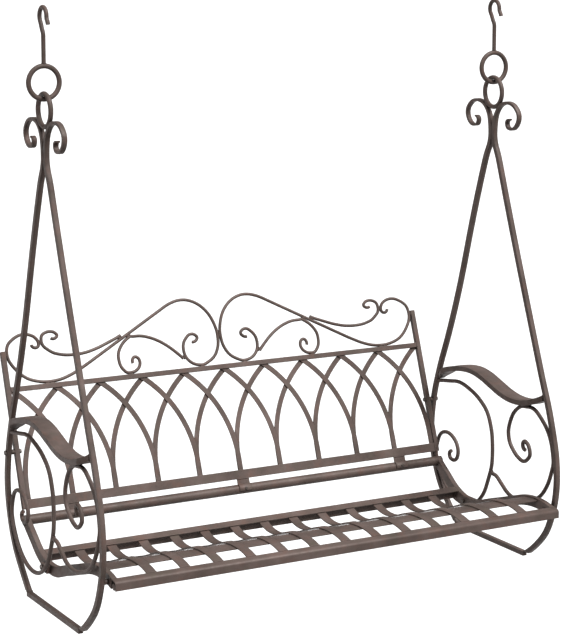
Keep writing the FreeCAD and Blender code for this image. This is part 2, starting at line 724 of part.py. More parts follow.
lip_shares = [(1.0, 0.56), (1.0, 1.0)]
lip_points, lip_dirs = seat_run(lip_start, lip_turn)
lip_points = lip_points + [(-a * size("seat_front"), seat_level - b * size("front_lip")) for a, b in lip_shares]
lip_fixed = {i: d for i, d in enumerate(lip_dirs)}
lip_fixed[len(lip_points) - 1] = (0, -1)
lip_fixed[len(lip_points) - 2] = (0, -1)
cross_piece("seat_front_rail", lip_points, directions(lip_points, lip_fixed), 0, size("front_sheet"),
            "Sizes.seat_width")

# Round bar in the front rail's roll.
stiff = size("front_stiffener") / 2
stiff_y = -size("seat_front") + size("front_sheet") + gap + stiff
stiff_z = seat_level - size("front_lip") + stiff
stiffener = rod_x(stiff, (-seat_half + gap, seat_half - gap), stiff_y, stiff_z)
node(feature("stiffener", stiffener), "seat_front_stiffener")

# Slats: strips that start under the rear rail's flange, sink in the dip, lie on the crest strip and end
# flush at the front rail.
slat_low = rail_skin + gap
slat_lap_share = 0.5
slat_start = rail_rear - size("rear_rail") * slat_lap_share
under_points, under_dirs = seat_run(slat_start, rail_front)
over_points, over_dirs = seat_run(rail_front, lip_start + gap)
slat_points = under_points[:-1] + over_points
slat_dirs = under_dirs[:-1] + over_dirs
sink_at = [(slat_start, slat_low), (rail_front, slat_low), (seat_points[4][0], size("slat_sink")),
           (seat_points[7][0], size("slat_sink")), (seat_points[9][0], 0), (lip_start, 0)]


def slat_drop(across):
    """How far a slat lies under the profile at a depth."""
    for (rear, one), (front, two) in zip(sink_at, sink_at[1:]):
        if across >= front:
            return one + (two - one) * (rear - across) / (rear - front)
    return 0.0


sinks = [slat_drop(p[0]) for p in slat_points]
slat_points = shifted(slat_points, slat_dirs, sinks)
level = {i: d for i, (d, o) in enumerate(zip(slat_dirs, sinks)) if o < gap or i < len(under_points)}
slat_dirs = directions(slat_points, level)
slat_face = feature("slat_outline", strip_face(slat_points, slat_dirs, [0] * len(slat_points),
                                               [size("slat_thick")] * len(slat_points), side_point))
for k in range(SLATS):
    label = "seat_slat_%02d" % (k + 1)
    slat = extruded(label, slat_face, "Sizes.slat_width")
    step = k - (SLATS - 1) / 2
    place_x(slat, "%.1f * 2 * (Sizes.seat_width / 2 - Sizes.plate_thick) / %d" % (step, SLATS + 1))
    node(slat, label)

# Back frame: two stiles, a foot rail over the seat tube and a top rail.
height = size("back_height")
rail = size("back_rail")
stile_in = seat_half - stile
stile_high = height + rail + size("stile_top")


def back_box(name, x, n, s):
    return Part.makeBox(x[1] - x[0], n[1] - n[0], s[1] - s[0], Vector(x[0], n[0], s[0]))


back_inverse = back_place.inverse()
cross_local = back_inverse.multVec(Vector(0, cross.y, cross.z))
for side, sign in (("left", -1), ("right", 1)):
    limits = sorted((sign * stile_in, sign * seat_half))
    post = back_box(side, limits, (-stile / 2, stile / 2), (-size("back_foot_rail"), stile_high))
    reach = sorted((sign * (stile_in - bar), sign * (seat_half + bar)))
    hole = rod_x(bolt_hole, reach, cross_local.y, cross_local.z)
    core = back_box(side, (limits[0] + wall, limits[1] - wall), (-stile / 2 + wall, stile / 2 - wall),
                    (-size("back_foot_rail"), stile_high - wall))
    post = feature(side + "_stile", post.cut(core).cut(hole))
    post.Placement = back_place
    node(post, side + "_back_stile")
rail_limits = (-stile_in + gap, stile_in - gap)
rails = {
    "back_foot_rail": back_box("foot", rail_limits, (-rail / 2, rail / 2), (-size("back_foot_rail"), 0)),
    "back_top_rail": back_box("top", rail_limits, (-rail / 2, rail / 2), (height, height + rail)),
}
for label, shape in rails.items():
    ends = shape.BoundBox
    core_half = rail / 2 - wall
    core = back_box("core", rail_limits, (-core_half, core_half), (ends.ZMin + wall, ends.ZMax - wall))
    piece = feature(label, shape.cut(core))
    piece.Placement = back_place
    node(piece, label)

# Lattice: flat bars that rise straight from the foot rail and bend over to the next point of the
# top rail.
arch = size("arch_width")
pitch = (2 * (stile_in - gap) - arch) / BAYS
rise = height - size("arch_straight")
sweep_radius = (rise ** 2 + pitch ** 2) / (2 * pitch)
lattice_box = back_box("room", (-stile_in + gap, stile_in - gap), (-rail, rail), (gap, height - gap))


def arch_solid(foot, lean_sign, layer):
    """One lattice bar, from its foot, bending to the right or left, in its layer."""
    centre = (foot + lean_sign * sweep_radius, size("arch_straight"))
    turn = math.asin(rise / sweep_radius) + 2 * arch / sweep_radius

    def ring_point(radius, angle):
        across = lean_sign * radius * math.cos(angle)
        return back_point((centre[0] - across, centre[1] + radius * math.sin(angle)))

    outer, inner = sweep_radius + arch / 2, sweep_radius - arch / 2
    lines = [back_point((foot - lean_sign * arch / 2, 0)), back_point((foot + lean_sign * arch / 2, 0))]
    loop = [Part.LineSegment(lines[0], ring_point(outer, 0)).toShape(),
            Part.Arc(ring_point(outer, 0), ring_point(outer, turn / 2), ring_point(outer, turn)).toShape(),
            Part.LineSegment(ring_point(outer, turn), ring_point(inner, turn)).toShape(),
            Part.Arc(ring_point(inner, turn), ring_point(inner, turn / 2), ring_point(inner, 0)).toShape(),
            Part.LineSegment(ring_point(inner, 0), lines[1]).toShape(),
            Part.LineSegment(lines[1], lines[0]).toShape()]
    face = Part.Face(Part.Wire(loop))
    face.translate(Vector(0, layer, 0))
    return face.extrude(Vector(0, size("arch_thick"), 0)).common(lattice_box)


first_foot = -stile_in + gap + arch / 2
feet = [first_foot + i * pitch for i in range(BAYS + 1)]
lattice = {
    "back_front_arches": [arch_solid(foot, -1, -size("arch_thick")) for foot in feet[1:]],
    "back_rear_arches": [arch_solid(foot, 1, 0) for foot in feet[:-1]],
}
for label, solids in lattice.items():
    piece = feature(label, Part.makeCompound(solids))
    piece.Placement = back_place
    node(piece, label)

# Crest: on each half a long S-scroll, a leaf scroll laid on its slope and a small S-scroll under it.
crest_rod = size("crest_rod")
half_crest = crest_rod / 2
crest_zero = height + rail
crest_half = stile_in
touching = crest_rod + gap


def crest_point(share):
    return (share[0] * crest_half, crest_zero + share[1] * size("crest_height"))


main_start_shares = [(0.135, 0.37), (0.117, 0.385), (0.108, 0.43), (0.118, 0.475), (0.14, 0.487), (0.161, 0.44),
                     (0.177, 0.365), (0.182, 0.255), (0.176, 0.165), (0.159, 0.09)]
main_low_share = 0.103
main_rise_shares = [(0.07, 0.06), (0.037, 0.135), (0.016, 0.25)]
main_touch_share = 0.445
main_top_shares = [(0.018, 0.635), (0.037, 0.77), (0.065, 0.88), (0.101, 0.96), (0.14, 1.0), (0.175, 1.0),
                   (0.215, 0.965)]
slope_shares = [(0.256, 0.9), (0.612, 0.265)]
main_fall_shares = [(0.67, 0.165), (0.72, 0.09), (0.77, 0.04)]
main_floor_share = 0.823
main_climb_shares = [(0.873, 0.045), (0.92, 0.105), (0.955, 0.205)]
main_side_share = 0.465
main_end_shares = [(0.985, 0.585), (0.955, 0.675), (0.92, 0.72), (0.884, 0.71), (0.857, 0.655), (0.847, 0.585),
                   (0.85, 0.535), (0.862, 0.517), (0.88, 0.565)]
low_z = crest_zero + half_crest + gap
main_points = [crest_point(s) for s in main_start_shares]
low_at = len(main_points)
main_points += [(main_low_share * crest_half, low_z)] + [crest_point(s) for s in main_rise_shares]
mid_at = len(main_points)
main_points += [(half_crest + gap / 2, crest_point((0, main_touch_share))[1])]
main_points += [crest_point(s) for s in main_top_shares]
slope_at = len(main_points)
slope_ends = [crest_point(s) for s in slope_shares]
slope = unit((slope_ends[1][0] - slope_ends[0][0], slope_ends[1][1] - slope_ends[0][1]))
main_points += slope_ends + [crest_point(s) for s in main_fall_shares]
floor_at = len(main_points)
main_points += [(main_floor_share * crest_half, low_z)] + [crest_point(s) for s in main_climb_shares]
side_at = len(main_points)
main_points += [(crest_half - half_crest - gap, crest_point((0, main_side_share))[1])]
main_points += [crest_point(s) for s in main_end_shares]
main_dirs = directions(main_points, {low_at: (-1, 0), mid_at: (0, 1), slope_at: slope, slope_at + 1: slope,
                                     floor_at: (1, 0), side_at: (0, 1)})


def on_slope(share, away):
    """Point beside the long scroll's straight slope, a rod and a weld away."""
    n = turned(slope)
    a, b = slope_ends
    beside = away * touching
    return (a[0] + share * (b[0] - a[0]) + n[0] * beside, a[1] + share * (b[1] - a[1]) + n[1] * beside)


loop_left = main_points[side_at + 6][0] - touching
leaf_start_share = 0.58
leaf_shares = [(0.53, 0.49), (0.595, 0.415), (0.645, 0.378), (0.7, 0.367), (0.75, 0.385), (0.795, 0.44)]
leaf_turn_share = 0.6
leaf_end_shares = [(0.826, 0.685), (0.808, 0.72), (0.789, 0.728), (0.768, 0.705), (0.759, 0.66), (0.768, 0.628),
                   (0.788, 0.63)]
leaf_points = [on_slope(leaf_start_share, 1)] + [crest_point(s) for s in leaf_shares]
turn_at = len(leaf_points)
leaf_points += [(loop_left, crest_point((0, leaf_turn_share))[1])] + [crest_point(s) for s in leaf_end_shares]
leaf_dirs = directions(leaf_points, {0: slope, turn_at: (0, 1)})

small_touch_share = 0.5
small_side = turned(main_dirs[8])
small_start = (main_points[8][0] + small_side[0] * touching, main_points[8][1] + small_side[1] * touching)
small_shares = [(0.222, 0.255), (0.255, 0.35), (0.293, 0.435), (0.335, 0.5), (0.375, 0.535), (0.41, 0.54)]
small_fall_shares = [(0.474, 0.415), (0.49, 0.32), (0.493, 0.21), (0.486, 0.115)]
small_floor_share = 0.452
small_end_shares = [(0.42, 0.045), (0.402, 0.1), (0.397, 0.17), (0.404, 0.225), (0.418, 0.243), (0.43, 0.205),
                    (0.43, 0.155)]
small_points = [small_start] + [crest_point(s) for s in small_shares]
under_at = len(small_points)
small_points += [on_slope(small_touch_share, -1)] + [crest_point(s) for s in small_fall_shares]
small_low = len(small_points)
small_points += [(small_floor_share * crest_half, low_z)] + [crest_point(s) for s in small_end_shares]
small_dirs = directions(small_points, {under_at: slope, small_low: (-1, 0)})

crest_scrolls = {
    "crest_long_scroll": (main_points, main_dirs),
    "crest_leaf_scroll": (leaf_points, leaf_dirs),
    "crest_small_scroll": (small_points, small_dirs),
}
for label, (points, dirs) in crest_scrolls.items():
    spine = rod_path(label + "_path", points, dirs, back_point)
    heading = Vector(dirs[0][0], 0, dirs[0][1])
    right = swept(label + "_flat", spine, "Sizes.crest_rod / 2", back_point(points[0]), heading)
    doc.recompute()
    left = doc.addObject("Part::Mirroring", label + "_mirrored")
    left.Source = right
    left.Normal = Vector(1, 0, 0)
    doc.recompute()
    for piece, side in ((right.Shape, "right"), (left.Shape, "left")):
        placed = feature(side + "_" + label + "_placed", piece)
        placed.Placement = back_place
        node(placed, side + "_" + label)

# Brackets: a strap round the front of the seat tube with a tab up to the foot rail's underside,
# each with a screw into the tube.
bracket_thick = size("bracket_thick")
strap_half = size("bracket_width") / 2
tube_local = back_inverse.multVec(Vector(0, tube_y, tube_z))
tab_face = -rail / 2
tab_back = tab_face + bracket_thick
tab_top = -size("back_foot_rail") - gap
screw_rise = size("screw_rise")
tab_foot_share = 0.4
strap_low_share = 0.22
screw_round_share = 0.6
brackets = []
screws = []
for place in (-1, 0, 1):
    x = place * size("bracket_step")
    limits = (x - strap_half, x + strap_half)
    outer = rod_x(tube / 2 + gap + bracket_thick, limits, tube_local.y, tube_local.z)
    inner = rod_x(tube / 2 + gap, limits, tube_local.y, tube_local.z)
    half_heights = (tube_local.z - tube * strap_low_share, tube_local.z + tube)
    front_half = back_box("half", limits, (tab_face - tube, tab_back), half_heights)
    strap = outer.cut(inner).common(front_half)
    tab_heights = (tube_local.z + tube * tab_foot_share, tab_top)
    tab = back_box("tab", limits, (tab_face, tab_back), tab_heights)
    brackets.append(strap.fuse(tab.cut(inner)).removeSplitter())
    base = tube_local.y - tube / 2 - gap - bracket_thick - gap
    spot = Vector(x, base, tube_local.z)
    head = Part.makeCylinder(size("screw_head") / 2, screw_rise, spot, Vector(0, -1, 0))
    crown_edges = [e for e in head.Edges if e.BoundBox.YMax < base - screw_rise + gap]
    screws.append(head.makeFillet(screw_rise * screw_round_share, crown_edges))
for label, solids in (("back_brackets", brackets), ("bracket_screws", screws)):
    piece = feature(label, Part.makeCompound(solids))
    piece.Placement = back_place
    node(piece, label)

# Bolts along X. Those of the rear bar and the lug have the head outside and the nut inside; the front
# bar is tapped, so its bolt goes in from the seat's side and ends flush.
bolt = size("bolt") / 2
head_rise = size("bolt_head_rise")
bar_out = size("span") / 2 + half_bar
bar_in = size("span") / 2 - half_bar
joints = [(front_bolt_y, front_bolt_z, bar_out, inner_half, True), (cross.y, cross.z, bar_out, stile_in, True),
          (lug_bolt_y, lug_z, lug_outer, inner_half, False)]
bolts = []
nuts = []
spacers = []
for sign in (-1, 1):
    for y, z, outside, inside, spaced in joints:
        tapped = y == front_bolt_y
        if tapped:
            shank = rod_x(bolt, sorted((sign * (inside - gap), sign * outside)), y, z)
            head_limits = sorted((sign * (inside - gap - head_rise), sign * (inside - gap)))
        else:
            shank = rod_x(bolt, sorted((sign * (inside - size("nut_rise")), sign * (outside + gap))), y, z)
            head_limits = sorted((sign * (outside + gap), sign * (outside + gap + head_rise)))
            nut_limits = sorted((sign * (inside - gap - size("nut_rise")), sign * (inside - gap)))
            nut = hex_x(size("bolt_head"), nut_limits, y, z)
            nuts.append(nut.cut(rod_x(bolt + gap, sorted((sign * (inside - bar), sign * inside)), y, z)))
        head = hex_x(size("bolt_head"), head_limits, y, z)
        bolts.append(shank.fuse(head).removeSplitter())
        if spaced:
            limits = sorted((sign * (seat_half + gap), sign * (bar_in - gap)))
            sleeve = rod_x(size("spacer") / 2, limits, y, z)
            spacers.append(sleeve.cut(rod_x(bolt_hole, limits, y, z)))
for label, solids in (("frame_bolts", bolts), ("frame_nuts", nuts), ("frame_spacers", spacers)):
    node(feature(label, Part.makeCompound(solids)), label)

doc.recompute()
for obj in doc.Objects:
    if "Invalid" in obj.State or "Error" in obj.State:
        raise RuntimeError("failed object " + obj.Label)
for obj in nodes:
    if obj.Shape.isNull() or not obj.Shape.isValid() or obj.Shape.Volume <= 0:
        raise RuntimeError("bad shape " + obj.Label)

os.makedirs("parts", exist_ok=True)
for obj in nodes:
    obj.Shape.exportStep("parts/" + obj.Label + ".step")
print(len(nodes), "pieces")
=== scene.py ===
"""Looks of the hanging swing bench: finishes, welds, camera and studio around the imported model."""

import json
import math

import bmesh
import bpy
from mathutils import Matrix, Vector, noise
from mathutils.bvhtree import BVHTree


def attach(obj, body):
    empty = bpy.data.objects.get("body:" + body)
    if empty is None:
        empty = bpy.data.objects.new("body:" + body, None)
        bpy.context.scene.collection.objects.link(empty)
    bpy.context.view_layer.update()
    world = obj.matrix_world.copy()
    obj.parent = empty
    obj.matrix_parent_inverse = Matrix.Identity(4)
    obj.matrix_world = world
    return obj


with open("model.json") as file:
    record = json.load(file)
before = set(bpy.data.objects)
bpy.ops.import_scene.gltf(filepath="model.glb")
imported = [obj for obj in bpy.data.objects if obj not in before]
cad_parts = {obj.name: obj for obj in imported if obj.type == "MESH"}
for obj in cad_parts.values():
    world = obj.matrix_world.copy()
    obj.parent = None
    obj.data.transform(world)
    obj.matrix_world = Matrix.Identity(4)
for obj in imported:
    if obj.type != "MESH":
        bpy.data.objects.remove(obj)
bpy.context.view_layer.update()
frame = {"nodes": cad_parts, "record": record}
nodes = frame["nodes"]
scene = bpy.context.scene

SIDES = ("left", "right")
SIDE_PIECES = ("rear_scroll", "front_scroll", "front_bar", "rear_bar", "lower_ring", "armrest", "keel_bar",
               "seat_end_plate", "back_stile", "hook", "upper_ring", "seat_lug")
SLATS = ["seat_slat_%02d" % i for i in range(1, 14)]

# Camera: the photograph's viewing angle, with part of its upright framing as shift.
IMAGE_SIDE_PX = 640
SENSOR_MM = 36.0
FOCAL_PX = 2024.05
CAMERA_AT = Vector((-2.302, -4.146, 0.127))
YAW_DEG = 29.024
PITCH_DEG = 7.690
SHIFT_Y = -0.15

# Soft lights: name, strength, spread in degrees and the way the light travels.
LIGHTS = (
    ("key", 5.0, 30.0, (-0.30, 0.66, -1.00)),
    ("side", 1.0, 40.0, (0.90, 0.30, -0.60)),
)

FLOOR_Z = -2.20
FLOOR_HALF = 150.0

BACK_LEAN_DEG = 19.7
NEAR_CLIP, FAR_CLIP = 0.05, 500.0

# Rounding of the flat stock, and the distance within which split vertices are joined.
EDGE_ROUND = 0.0007
EDGE_ANGLE_DEG = 40.0
JOIN = 0.00001

# Beads where rods lean on other pieces: radius, offset from the middle plane, length.
ROD_BEAD = (0.0019, 0.0026, 0.013)
CROTCH_BEAD = (0.0016, 0.0056, 0.030)
HOOK_BEAD = (0.0019, 0.0034, 0.007)
CREST_BEAD = (0.0018, 0.0026, 0.012)
CREST_MIDDLE_BEAD = (0.0018, 0.0026, 0.016)

# Beads along edges: radii, the wider reach at the armrests and the longest runs.
KEEL_BEAD = 0.0016
ARM_BEAD = 0.0022
RAIL_BEAD = 0.0014
LUG_BEAD = 0.0015
ARCH_BEAD = 0.0012
SLAT_BEAD = 0.0011
ARM_REACH = 0.0030
ARM_LONGEST = 0.050
SEAT_LONGEST = 0.060
BRACKET_LONGEST = 0.040


def look_direction(yaw, pitch):
    """Unit vector at a yaw from +Y towards +X and a pitch below the horizon, in degrees."""
    a, p = math.radians(yaw), math.radians(pitch)
    return Vector((math.sin(a) * math.cos(p), math.cos(a) * math.cos(p), -math.sin(p)))


def make_camera():
    data = bpy.data.cameras.new("camera")
    data.sensor_width = SENSOR_MM
    data.lens = FOCAL_PX / IMAGE_SIDE_PX * SENSOR_MM
    data.shift_y = SHIFT_Y
    data.clip_start = NEAR_CLIP
    data.clip_end = FAR_CLIP
    cam = bpy.data.objects.new("camera", data)
    cam.location = CAMERA_AT
    cam.rotation_euler = look_direction(YAW_DEG, PITCH_DEG).to_track_quat("-Z", "Y").to_euler()
    scene.collection.objects.link(cam)
    scene.camera = cam


class Graph:
    """Small helper that adds shader nodes and links."""

    def __init__(self, tree):
        self.tree = tree

    def add(self, kind, **values):
        n = self.tree.nodes.new(kind)
        for name, value in values.items():
            if hasattr(n, name):
                setattr(n, name, value)
            else:
                n.inputs[name.replace("_", " ")].default_value = value
        return n

    def link(self, a, b):
        self.tree.links.new(a, b)

    def noise(self, coords, scale, detail=2.0, rough=0.5):
        n = self.add("ShaderNodeTexNoise")
        n.inputs["Scale"].default_value = scale
        n.inputs["Detail"].default_value = detail
        n.inputs["Roughness"].default_value = rough
        self.link(coords, n.inputs["Vector"])
        return n.outputs["Fac"]

    def ramp(self, fac, stops):
        n = self.add("ShaderNodeValToRGB")
        ramp = n.color_ramp
        while len(ramp.elements) < len(stops):
            ramp.elements.new(0.5)
        for element, (at, colour) in zip(ramp.elements, stops):
            element.position = at
            element.color = (*colour, 1.0)
        self.link(fac, n.inputs["Fac"])
        return n.outputs["Color"]

    def span(self, value, low, high, to_low, to_high):
        n = self.add("ShaderNodeMapRange")
        for i, v in enumerate((low, high, to_low, to_high), 1):
            n.inputs[i].default_value = v
        self.link(value, n.inputs[0])
        return n.outputs[0]

    def mix(self, fac, a, b, blend="MIX"):
        n = self.add("ShaderNodeMix", data_type="RGBA", blend_type=blend)
        for value, socket in ((fac, n.inputs[0]), (a, n.inputs[6]), (b, n.inputs[7])):
            if hasattr(value, "links"):
                self.link(value, socket)
            elif socket.type == "RGBA":
                socket.default_value = (*value, 1.0)
            else:
                socket.default_value = value
        return n.outputs[2]

    def maths(self, operation, a, b=0.0):
        n = self.add("ShaderNodeMath", operation=operation)
        for value, socket in ((a, n.inputs[0]), (b, n.inputs[1])):
            if hasattr(value, "links"):
                self.link(value, socket)
            else:
                socket.default_value = value
        return n.outputs[0]


def new_material(name):
    mat = bpy.data.materials.new(name)
    mat.use_nodes = True
    g = Graph(mat.node_tree)
    shader = next(n for n in mat.node_tree.nodes if n.type == "BSDF_PRINCIPLED")
    coords = g.add("ShaderNodeTexCoord").outputs["Object"]
    return mat, g, shader, coords


def worn_edges(g, radius):
    """0 on flat faces and up to 1 on edges, from the normal of a rounded copy of the surface."""
    bevel = g.add("ShaderNodeBevel", samples=4)
    bevel.inputs["Radius"].default_value = radius
    dot = g.add("ShaderNodeVectorMath", operation="DOT_PRODUCT")
    g.link(bevel.outputs["Normal"], dot.inputs[0])
    g.link(g.add("ShaderNodeNewGeometry").outputs["Normal"], dot.inputs[1])
    return g.span(dot.outputs["Value"], 0.99, 0.86, 0.0, 1.0)


def paint_material():
    """Antique bronze powder coat: dark brown with lighter and redder clouds, fine peel and rubbed edges, plus
    painted shade that darkens the crevices.
    """
    mat, g, shader, coords = new_material("antique_bronze_paint")
    clouds = g.noise(coords, 11.0, 4.0, 0.6)
    base = g.ramp(clouds, [(0.30, (0.056, 0.040, 0.034)), (0.52, (0.088, 0.063, 0.055)),
                           (0.74, (0.124, 0.090, 0.080))])
    tint = g.noise(coords, 37.0, 3.0, 0.55)
    red = g.mix(g.span(tint, 0.52, 0.72, 0.0, 0.50), base, (0.110, 0.059, 0.045))
    olive = g.mix(g.span(tint, 0.46, 0.28, 0.0, 0.40), red, (0.075, 0.064, 0.046))
    speck = g.noise(coords, 950.0, 2.0, 0.6)
    flecked = g.mix(g.span(speck, 0.58, 0.75, 0.0, 0.35), olive, (0.150, 0.112, 0.094))
    patches = g.span(g.noise(coords, 24.0, 3.0, 0.6), 0.40, 0.66, 0.10, 0.80)
    rub = g.maths("MULTIPLY", worn_edges(g, 0.0016), patches)
    worn = g.mix(rub, flecked, (0.190, 0.146, 0.122))
    # Painted shade: the colour darkens towards near-black where ambient occlusion finds crevices and joints.
    crevice_shade_ao = g.add("ShaderNodeAmbientOcclusion", samples=4)
    crevice_shade_ao.inputs["Distance"].default_value = 0.014
    painted_crevice_shade = g.mix(g.span(crevice_shade_ao.outputs["AO"], 0.35, 0.90, 0.85, 0.0), worn, (0.012, 0.008, 0.006))
    g.link(painted_crevice_shade, shader.inputs["Base Color"])
    rough = g.span(g.noise(coords, 85.0, 3.0, 0.6), 0.3, 0.7, 0.46, 0.62)
    g.link(g.maths("SUBTRACT", rough, g.maths("MULTIPLY", rub, 0.10)), shader.inputs["Roughness"])
    shader.inputs["Metallic"].default_value = 0.12
    shader.inputs["Specular IOR Level"].default_value = 0.25
    bump_fine = g.add("ShaderNodeBump")
    bump_fine.inputs["Strength"].default_value = 0.22
    bump_fine.inputs["Distance"].default_value = 0.00035
    g.link(g.noise(coords, 620.0, 2.0, 0.5), bump_fine.inputs["Height"])
    bump_wide = g.add("ShaderNodeBump")
    bump_wide.inputs["Strength"].default_value = 0.20
    bump_wide.inputs["Distance"].default_value = 0.0012
    g.link(g.noise(coords, 95.0, 2.0, 0.5), bump_wide.inputs["Height"])
    g.link(bump_wide.outputs["Normal"], bump_fine.inputs["Normal"])
    g.link(bump_fine.outputs["Normal"], shader.inputs["Normal"])
    return mat


def fastener_material():
    """Steel painted over with the frame: darker and lighter patches, rubbed lighter on the edges."""
    mat, g, shader, coords = new_material("painted_fastener")
    patch = g.noise(coords, 140.0, 3.0, 0.6)
    base = g.ramp(patch, [(0.32, (0.030, 0.022, 0.018)), (0.68, (0.066, 0.048, 0.039))])
    rub = g.maths("MULTIPLY", worn_edges(g, 0.0008), g.span(patch, 0.35, 0.65, 0.2, 0.9))
    g.link(g.mix(rub, base, (0.17, 0.140, 0.118)), shader.inputs["Base Color"])
    g.link(g.span(g.noise(coords, 420.0, 2.0, 0.6), 0.3, 0.7, 0.38, 0.55), shader.inputs["Roughness"])
    shader.inputs["Metallic"].default_value = 0.30
    bump = g.add("ShaderNodeBump")
    bump.inputs["Strength"].default_value = 0.18
    bump.inputs["Distance"].default_value = 0.0002
    g.link(g.noise(coords, 900.0, 2.0, 0.5), bump.inputs["Height"])
    g.link(bump.outputs["Normal"], shader.inputs["Normal"])
    return mat


def cap_material():
    """Black moulded plastic with a fine spark-eroded grain."""
    mat, g, shader, coords = new_material("moulded_cap")
    base = g.ramp(g.noise(coords, 60.0, 2.0, 0.5),
                  [(0.35, (0.020, 0.019, 0.018)), (0.70, (0.034, 0.032, 0.030))])
    g.link(base, shader.inputs["Base Color"])
    g.link(g.span(g.noise(coords, 300.0, 2.0, 0.5), 0.3, 0.7, 0.52, 0.68), shader.inputs["Roughness"])
    bump = g.add("ShaderNodeBump")
    bump.inputs["Strength"].default_value = 0.30
    bump.inputs["Distance"].default_value = 0.0003
    g.link(g.noise(coords, 1400.0, 1.0, 0.5), bump.inputs["Height"])
    g.link(bump.outputs["Normal"], shader.inputs["Normal"])
    return mat


MATERIALS = {"frame_paint": paint_material(), "fastener": fastener_material(), "cap": cap_material()}
SLOT_OF = {s["node"]: s["material_slot"] for s in frame["record"]["subparts"]}


def dress_nodes():
    """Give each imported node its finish, and round the sharp edges of the flat stock."""
    rods = ("hook", "ring", "scroll", "tube", "screws", "caps", "stiffener")
    for name, obj in nodes.items():
        for i in range(max(1, len(obj.material_slots))):
            if not obj.material_slots:
                obj.data.materials.append(None)
            obj.material_slots[i].material = MATERIALS[SLOT_OF[name]]
        if name.endswith(rods):
            continue
        weld = obj.modifiers.new("weld", "WELD")
        weld.merge_threshold = JOIN
        bevel = obj.modifiers.new("edge", "BEVEL")
        bevel.width = EDGE_ROUND
        bevel.segments = 2
        bevel.limit_method = "ANGLE"
        bevel.angle_limit = math.radians(EDGE_ANGLE_DEG)
        bevel.harden_normals = True


class Welds:
    """Rippled beads where pieces of one body are welded together, gathered in one mesh."""

    RIPPLE = 0.0021
    STEP = 0.0008

    def __init__(self):
        self.bm = bmesh.new()

    def bead(self, p, q, radius, sides=9):
        """Closed bead along a straight line: rounded ends, rippled along its length, a little uneven."""
        along = q - p
        length = along.length
        axis = along.normalized()
        u = axis.orthogonal().normalized()
        v = axis.cross(u)
        count = max(6, int(length / self.STEP))
        rings = []
        for k in range(1, count):
            t = k / count
            end = min(t, 1.0 - t) * length / (radius * 1.3)
            swell = math.sqrt(max(0.05, 1.0 - (1.0 - min(1.0, end)) ** 2))
            at = p + along * t
            ripple = 1.0 + 0.13 * math.cos(2.0 * math.pi * t * length / self.RIPPLE)
            uneven = 1.0 + 0.22 * noise.noise(at * 380.0)
            r = radius * swell * ripple * uneven
            turns = [2.0 * math.pi * i / sides for i in range(sides)]
            rings.append([self.bm.verts.new(at + (u * math.cos(a) + v * math.sin(a)) * r) for a in turns])
        for one, two in zip(rings, rings[1:]):
            for i in range(sides):
                j = (i + 1) % sides
                self.bm.faces.new((one[i], one[j], two[j], two[i]))
        first, last = self.bm.verts.new(p), self.bm.verts.new(q)
        for i in range(sides):
            j = (i + 1) % sides
            self.bm.faces.new((first, rings[0][j], rings[0][i]))
            self.bm.faces.new((last, rings[-1][i], rings[-1][j]))

    def finish(self, name, body):
        bmesh.ops.recalc_face_normals(self.bm, faces=self.bm.faces)
        mesh = bpy.data.meshes.new(name)
        self.bm.to_mesh(mesh)
        self.bm.free()
        for polygon in mesh.polygons:
            polygon.use_smooth = True
        mesh.materials.append(MATERIALS["frame_paint"])
        obj = bpy.data.objects.new(name, mesh)
        scene.collection.objects.link(obj)
        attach(obj, body)
        return obj


def solid_copy(name):
    """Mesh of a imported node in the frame's coordinates, with its split vertices joined."""
    bm = bmesh.new()
    bm.from_mesh(nodes[name].data)
    bm.transform(nodes[name].matrix_world)
    bmesh.ops.remove_doubles(bm, verts=bm.verts, dist=JOIN)
    return bm


SHAPES = {}


def shape(name):
    if name not in SHAPES:
        bm = solid_copy(name)
        SHAPES[name] = (bm, BVHTree.FromBMesh(bm))
    return SHAPES[name]


def edge_welds(welds, name, other, radius, reach=0.0004, shortest=0.005, longest=0.030):
    """Beads along the sharp edges of one piece that lie on another piece."""
    bm, tree = shape(name)[0], shape(other)[1]
    for edge in bm.edges:
        if len(edge.link_faces) != 2 or edge.calc_face_angle(0.0) < 0.5:
            continue
        p, q = edge.verts[0].co.copy(), edge.verts[1].co.copy()
        length = (q - p).length
        if length < shortest:
            continue
        count = max(2, int(length / 0.001))
        touch = [tree.find_nearest(p.lerp(q, k / count), reach)[0] is not None for k in range(count + 1)]
        start = None
        for k, on in enumerate(touch + [False]):
            if on and start is None:
                start = k
            if not on and start is not None:
                a, b = p.lerp(q, start / count), p.lerp(q, (k - 1) / count)
                if shortest <= (b - a).length <= longest:
                    welds.bead(a, b, radius)
                start = None


def touch_welds(welds, name, other, normals, radius, offset, length, reach=0.0009):
    """Beads on both sides of the places where a rod leans on another piece."""
    bm, tree = shape(name)[0], shape(other)[1]
    spots = [v.co for v in bm.verts] + [f.calc_center_median() for f in bm.faces]
    found = []
    for spot in spots:
        near = tree.find_nearest(spot, reach)[0]
        if near is None:
            continue
        middle = (spot + near) / 2.0
        for group in found:
            if (group[0][0] - middle).length < 0.016:
                group.append((middle, near - spot))
                break
        else:
            found.append([(middle, near - spot)])
    for group in found:
        centre = sum((m for m, d in group), Vector()) / len(group)
        toward = sum((d.normalized() for m, d in group if d.length > 1e-6), Vector())
        for normal in normals:
            along = normal.cross(toward)
            if along.length < 1e-6:
                continue
            half = along.normalized() * (length / 2.0)
            for sign in (-1.0, 1.0):
                at = centre + normal * (sign * offset)
                welds.bead(at - half, at + half, radius)


